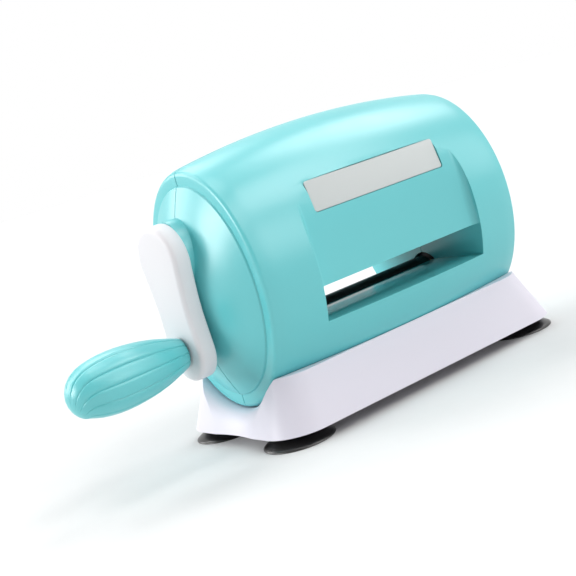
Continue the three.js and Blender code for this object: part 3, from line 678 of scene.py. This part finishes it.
def place_copy(master, name, location):
    """A copy of a finished piece, with its own mesh, at its own place."""
    only(master)
    bpy.ops.object.duplicate(linked=False)
    piece = bpy.context.object
    piece.name = name
    piece.location = location
    bpy.ops.object.transform_apply(location=True, rotation=True, scale=True)
    return piece


master_cup = new_turned("master_cup", CUP_PROFILE, 0, 64)
master_cup.rotation_euler.y = -math.pi / 2
bpy.ops.object.transform_apply(location=True, rotation=True, scale=True)
for cup_name, cup_x, cup_y in CUP_SPOTS:
    finish_piece(place_copy(master_cup, cup_name, (cup_x, cup_y, 0)), f"cup_{cup_name}", "housing",
                 [f"suction_cup_{cup_name}"], rubber, 50)
bpy.data.objects.remove(master_cup)

# %% [markdown]
# ## Rollers
# Both sleeves are the same plain tube with softened ends, so it is turned once and copied.

# %% Roller sleeves
master_tube = new_turned("master_tube", [(-47.2, 4.2), (-47.2, 8.5), (-46.7, 9), (46.7, 9), (47.2, 8.5),
                                         (47.2, 4.2), (-47.2, 4.2)], 0, 72)
for roller_name, roller_z in (("upper", UPPER_Z), ("lower", LOWER_Z)):
    finish_piece(place_copy(master_tube, roller_name, (0, 0, roller_z)), f"{roller_name}_sleeve",
                 f"{roller_name}_roller", [f"{roller_name}_roller_sleeve"],
                 roller_black, 40)
bpy.data.objects.remove(master_tube)

# %% [markdown]
# ## Crank arm
# The arm is a flat moulding with a round head on the crank shaft and a round end for the grip. Its outline
# is drawn by extruding a vertex, filled, drawn out to its thickness, and its edges are rolled over.

# %% Arm
ARM_INNER, ARM_OUTER = 88.0, 96.5
HEAD_RADIUS, END_RADIUS, WAIST, WAIST_FROM = 16.0, 13.8, 13.4, 14.75
END_LEAN = 0.12  # radians by which the round end starts above its own middle


def arm_outline():
    """Right side from the head down to the end, then its mirror image."""
    right = []
    for i in range(15):
        angle = math.radians(90 - 108 * i / 14)
        right.append((HEAD_RADIUS * math.cos(angle), CRANK_Z + HEAD_RADIUS * math.sin(angle)))
    start = right[-1]
    finish = (END_RADIUS * math.cos(END_LEAN), HANDLE_Z + END_RADIUS * math.sin(END_LEAN))
    for i in range(1, 9):
        t = i / 9
        z = start[1] + (finish[1] - start[1]) * t
        straight = start[0] + (finish[0] - start[0]) * t
        right.append((straight - (WAIST_FROM - WAIST) * math.sin(math.pi * t) ** 1.2, z))
    for i in range(15):
        angle = END_LEAN - (math.pi / 2 + END_LEAN) * i / 14
        right.append((END_RADIUS * math.cos(angle), HANDLE_Z + END_RADIUS * math.sin(angle)))
    return right + [(-y, z) for y, z in right[-2:0:-1]]


arm = new_drawn("arm", arm_outline(), (-ARM_OUTER, -ARM_INNER))
print("arm edges:", round_edges(arm, 2.4, 6, lambda c, e: abs(abs(c.x) - ARM_OUTER) < 0.01))
round_edges(arm, 1.2, 3, lambda c, e: abs(abs(c.x) - ARM_INNER) < 0.01)
cut(arm, new_rod("socket", "X", (-94.6, -80), 4.15, (0, CRANK_Z)),
    new_rod("bolt_hole", "X", (-110, -80), 3.15, (0, HANDLE_Z)),
    new_rod("bolt_seat", "X", (-90.3, -80), 5.3, (0, HANDLE_Z)))
finish_piece(arm, "arm", "crank", ["crank_arm"], arm_white, 30)

# %% [markdown]
# ## Grip
# The grip is turned like a file handle, and twelve fine grooves run along it. Each groove is one line of
# vertices drawn in towards the axis, so it is deep where the grip is thick and dies out with it at both
# ends. The round end is then turned down a little, because the grooves meet low on it and not at the tip.

# %% Grip
GRIP_ROOT, BOLT_DEPTH, BOLT_RADIUS = 97.2, 45, 3.1
GRIP_PROFILE = [(0, 3.1), (0, 6.2), (0.25, 6.8), (0.9, 7.15), (2, 7.5), (4, 8.25), (7, 9.2), (10, 10.15),
                (13, 10.95), (17, 11.8), (21, 12.45), (25, 12.9), (29, 13.2), (33, 13.3), (37, 13.15),
                (41, 12.7), (44.5, 12.05), (47.5, 11.15), (50, 10.05), (52, 8.8), (53.7, 7.4), (55, 5.9),
                (55.9, 4.3), (56.5, 2.5), (56.75, 1.1), (56.8, 0)]
GROOVES, GRIP_STEPS, GROOVE_TURN = 12, 192, 4.0
GROOVE_SHRINK = ((0, 0.952), (1, 0.984))
END_CENTRE, END_TURN, END_REACH = 44.5, 34.0, 16.0


def make_grip():
    bore_end = -GRIP_ROOT - BOLT_DEPTH
    profile = [(bore_end, 0), (bore_end, BOLT_RADIUS)] + [(-GRIP_ROOT - a, r) for a, r in GRIP_PROFILE]
    grip = new_turned("grip", profile, HANDLE_Z, GRIP_STEPS)
    step = 360 / GRIP_STEPS

    def columns_off(vert):
        angle = math.degrees(math.atan2(vert.co.z - HANDLE_Z, -vert.co.y)) - GROOVE_TURN
        pitch = 360 / GROOVES
        return round(abs((angle + pitch / 2) % pitch - pitch / 2) / step)

    def outside_bore(centre):
        return math.hypot(centre.y, centre.z - HANDLE_Z) > BOLT_RADIUS + 0.2

    bpy.ops.object.mode_set(mode="EDIT")
    for off, shrink in GROOVE_SHRINK:
        pick(grip, "VERT", lambda c, v: columns_off(v) == off and outside_bore(c))
        bpy.ops.transform.resize(value=(1, shrink, shrink), center_override=(0, 0, HANDLE_Z))
    pick(grip, "VERT", lambda c, v: c.x < -GRIP_ROOT - 56.7)
    bpy.ops.transform.rotate(value=math.radians(END_TURN), orient_axis="Y", use_proportional_edit=True,
                             proportional_edit_falloff="SMOOTH", proportional_size=END_REACH,
                             center_override=(-GRIP_ROOT - END_CENTRE, 0, HANDLE_Z))
    bpy.ops.object.mode_set(mode="OBJECT")
    return grip


finish_piece(make_grip(), "grip", "grip", ["handle_grip"], teal, 50)

# %% [markdown]
# ## CAD pieces that keep their shape
# The frame, gears, shafts and screws are already the right shape, so they only get their finishes.

# %% Finishes for the inner pieces
FINISH_FOR_SLOT = {"steel": bright_steel, "gear_steel": gear_steel, "zinc_steel": zinc, "bronze": bronze,
                   "black_steel": black_steel}
for part in frame["record"]["subparts"]:
    material = FINISH_FOR_SLOT.get(part["material_slot"])
    if material:
        mesh = nodes[part["node"]].data
        mesh.materials.clear()
        mesh.materials.append(material)

# %% [markdown]
# ## Floor, light and camera
# The floor is pale. The world is plain white to the camera, dimmer in reflections, and gives no light
# itself. All the modelling comes from broad suns, which light the floor evenly: the strongest stands low
# on the left and a little behind, so the crank's end is bright and the front is in a softer half-light.

# %% Floor and world
def make_floor():
    bpy.ops.mesh.primitive_plane_add(size=12, location=(0, 0, 0))
    floor = bpy.context.object
    floor.name = "floor"
    material = bpy.data.materials.new("pale_floor")
    material.use_nodes = True
    tree = material.node_tree
    shader = tree.nodes["Principled BSDF"]
    place = tree.nodes.new("ShaderNodeTexCoord").outputs["Object"]
    speckle = noise(tree, place, 90, 3)
    tree.links.new(mix_colors(tree, speckle, (0.73, 0.73, 0.73), (0.75, 0.75, 0.75)),
                   shader.inputs["Base Color"])
    shader.inputs["Roughness"].default_value = 0.9
    floor.data.materials.append(material)


def make_world(seen, reflected):
    """A white world: one strength to the camera, another in reflections, and none as a light."""
    world = bpy.data.worlds.new("plain_white")
    world.use_nodes = True
    tree = world.node_tree
    path = tree.nodes.new("ShaderNodeLightPath")
    direct = remap(tree, path.outputs["Is Camera Ray"], 0, 1, 0, seen)
    mirrored = remap(tree, path.outputs["Is Glossy Ray"], 0, 1, 0, reflected)
    strength = tree.nodes.new("ShaderNodeMath")
    tree.links.new(direct, strength.inputs[0])
    tree.links.new(mirrored, strength.inputs[1])
    tree.links.new(strength.outputs[0], tree.nodes["Background"].inputs["Strength"])
    tree.nodes["Background"].inputs["Color"].default_value = (1, 1, 1, 1)
    bpy.context.scene.world = world


make_floor()
make_world(1.0, 0.9)
bpy.context.scene.view_settings.view_transform = "Standard"

# %% Lights
SUN_ANGLE = 28
SUNS = (("key_left", -110, 20, 1.65), ("back_left_low", -150, 20, 0.80),
        ("back_left_high", -150, 50, 0.70), ("right_high", 100, 50, 0.90),
        ("front_right_high", 45, 50, 0.82), ("back_right", 160, 50, 0.60),
        ("front_fill", 20, 20, 0.58), ("front_high", 0, 50, 0.50), ("right_low", 60, 20, 0.34),
        ("overhead", 0, 89, 0.62))


def soft_sun(name, azimuth, elevation, strength):
    """A broad sun. Its azimuth is from the front, towards the right."""
    azimuth, elevation = math.radians(azimuth), math.radians(elevation)
    away = Vector((math.sin(azimuth) * math.cos(elevation), -math.cos(azimuth) * math.cos(elevation),
                   math.sin(elevation)))
    light = bpy.data.lights.new(name, "SUN")
    light.angle, light.energy = math.radians(SUN_ANGLE), strength
    lamp = bpy.data.objects.new(name, light)
    bpy.context.scene.collection.objects.link(lamp)
    lamp.location = away
    lamp.rotation_euler = (-away).to_track_quat("-Z", "Y").to_euler()


for sun_name, sun_azimuth, sun_elevation, sun_strength in SUNS:
    soft_sun(sun_name, sun_azimuth, sun_elevation, sun_strength)

# %% Camera
AZIMUTH, ELEVATION, ROLL, DISTANCE = -33.054, 8.384, -16.674, 0.52463
TARGET = Vector((-0.03507 + MIDDLE_X * MM, 0, 0.0585))
LENS, SENSOR = 70.89, 36


def make_camera():
    azimuth, elevation, roll = (math.radians(a) for a in (AZIMUTH, ELEVATION, ROLL))
    forward = Vector((-math.sin(azimuth) * math.cos(elevation), math.cos(azimuth) * math.cos(elevation),
                      -math.sin(elevation)))
    camera = bpy.data.objects.new("camera", bpy.data.cameras.new("camera"))
    bpy.context.scene.collection.objects.link(camera)
    camera.location = TARGET - forward * DISTANCE
    camera.rotation_euler = forward.to_track_quat("-Z", "Y").to_euler()
    camera.rotation_euler.rotate_axis("Z", roll)
    camera.data.lens = LENS
    camera.data.sensor_width = SENSOR
    bpy.context.scene.camera = camera
    return camera


camera = make_camera()
bpy.context.view_layer.update()
print("camera matrix", [[round(v, 4) for v in row] for row in camera.matrix_world])
